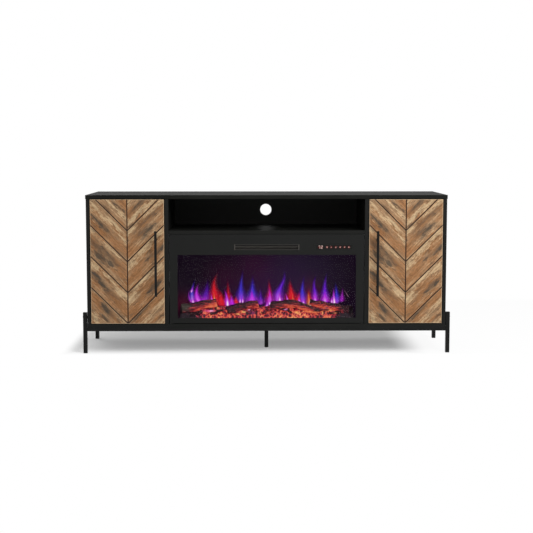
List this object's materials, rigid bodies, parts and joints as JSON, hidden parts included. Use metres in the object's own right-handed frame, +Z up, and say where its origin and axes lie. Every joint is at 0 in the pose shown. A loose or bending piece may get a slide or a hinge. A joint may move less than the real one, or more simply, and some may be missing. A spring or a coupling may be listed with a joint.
{
  "type": "fireplace tv stand",
  "caption": "Long low media cabinet on a slim metal leg frame, with an electric fireplace under an open compartment and an inset chevron door at each end.",
  "frame": {"origin": "on the floor under the middle of the stand's box", "axes": "+Z up, +X to the right as seen from the front, the front looks along -Y"},
  "size_m": [1.738, 0.453, 0.75],
  "materials": {
    "black_laminate": "black grained laminate",
    "back_board": "black printed hardboard",
    "black_metal": "black powder coat",
    "trim_metal": "matt black paint",
    "black_plastic": "matt black",
    "gloss_panel": "black touch panel",
    "rustic_wood": "printed rustic wood, tan with darker streaks",
    "nickel": "nickel plate",
    "galvanised": "galvanised sheet",
    "window_glass": "clear tinted glass",
    "screen_plastic": "translucent smoked panel",
    "circuit_board": "green circuit board",
    "ember_resin": "translucent moulded embers",
    "log_resin": "moulded and painted bark",
    "heater_ceramic": "ceramic heater"
  },
  "bodies": {
    "cabinet": {"top_board": "black_laminate", "left_side_panel": "black_laminate", "right_side_panel": "black_laminate", "left_divider": "black_laminate", "right_divider": "black_laminate", "bottom_board": "black_laminate", "centre_shelf": "black_laminate", "left_back_panel": "back_board", "centre_back_panel": "back_board", "right_back_panel": "back_board", "rear_stretcher": "black_laminate", "left_cupboard_shelf": "black_laminate", "right_cupboard_shelf": "black_laminate", "left_leg_frame": "black_metal", "right_leg_frame": "black_metal", "front_rail": "black_metal", "back_rail": "black_metal", "centre_foot": "black_metal", "centre_foot_cap": "black_plastic", "front_left_leg_cap": "black_plastic", "back_left_leg_cap": "black_plastic", "front_right_leg_cap": "black_plastic", "back_right_leg_cap": "black_plastic", "left_lower_hinge_arm": "nickel", "left_upper_hinge_arm": "nickel", "right_lower_hinge_arm": "nickel", "right_upper_hinge_arm": "nickel", "trim_frame": "trim_metal", "window_glass": "window_glass", "vent_louvre": "black_plastic", "touch_panel": "gloss_panel", "control_board": "circuit_board", "firebox_shell": "black_metal", "rear_cover": "black_metal", "cord_gland": "black_plastic", "left_mount_bracket": "galvanised", "right_mount_bracket": "galvanised", "flame_screen": "screen_plastic", "spindle_bearing": "black_plastic", "spindle_motor": "galvanised", "flame_lamp_board": "circuit_board", "ember_lamp_board": "circuit_board", "ember_bed": "ember_resin", "log_1": "log_resin", "log_2": "log_resin", "log_3": "log_resin", "log_4": "log_resin", "heater_duct": "galvanised", "heater_element": "heater_ceramic", "blower_motor": "galvanised"},
    "left_door": {"left_door": "rustic_wood", "left_handle": "black_metal", "left_lower_hinge_cup": "nickel", "left_upper_hinge_cup": "nickel"},
    "right_door": {"right_door": "rustic_wood", "right_handle": "black_metal", "right_lower_hinge_cup": "nickel", "right_upper_hinge_cup": "nickel"},
    "flame_spindle": {"flame_spindle": "nickel"},
    "blower_wheel": {"blower_wheel": "galvanised"}
  },
  "joints": [
    {"name": "left_door_hinge", "type": "hinge", "parent": "cabinet", "child": "left_door", "pos_m": [-0.829, -0.1915, 0.436], "axis": [0, 0, -1], "range_deg": [0, 105]},
    {"name": "right_door_hinge", "type": "hinge", "parent": "cabinet", "child": "right_door", "pos_m": [0.829, -0.1915, 0.436], "axis": [0, 0, 1], "range_deg": [0, 105]},
    {"name": "flame_spindle_turn", "type": "hinge", "parent": "cabinet", "child": "flame_spindle", "pos_m": [0, -0.0522, 0.2021], "axis": [1, 0, 0], "continuous": true},
    {"name": "blower_wheel_turn", "type": "hinge", "parent": "cabinet", "child": "blower_wheel", "pos_m": [0, -0.0802, 0.5198], "axis": [1, 0, 0], "continuous": true}
  ]
}
